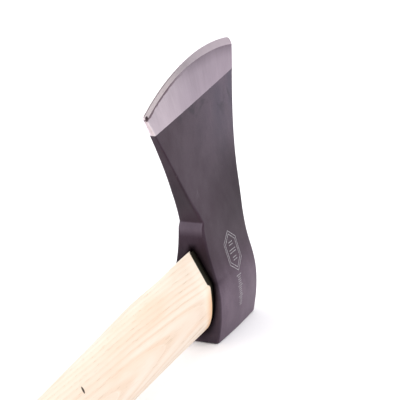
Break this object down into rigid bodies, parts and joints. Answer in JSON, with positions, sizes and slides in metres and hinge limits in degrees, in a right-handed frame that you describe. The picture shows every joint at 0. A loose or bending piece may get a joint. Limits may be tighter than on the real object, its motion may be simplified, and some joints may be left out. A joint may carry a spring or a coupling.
{
  "type": "felling axe",
  "caption": "Single-bit felling axe: a black-coated steel head with a ground and honed edge on a long curved ash haft.",
  "frame": {"origin": "centre of the poll, the flat back face of the head", "axes": "+Z from the poll up to the cutting edge; +X along the eye, away from the haft, so the haft runs towards -X; +Y is the thickness of the head, which is symmetric about Y = 0"},
  "size_m": [0.8194, 0.0366, 0.1901],
  "materials": {
    "coated_steel": "satin black coat over forged steel; the last 25 to 30 mm before the edge is ground bright",
    "ash": "pale ash, sanded along the grain and lightly oiled",
    "beech": "bare beech, sawn across the grain at the end that shows",
    "bare_steel": "bare turned steel, slightly dulled"
  },
  "bodies": {
    "root": {"axe_head": "coated_steel", "haft": "ash", "wooden_wedge": "beech", "ring_wedge": "bare_steel"}
  },
  "joints": []
}
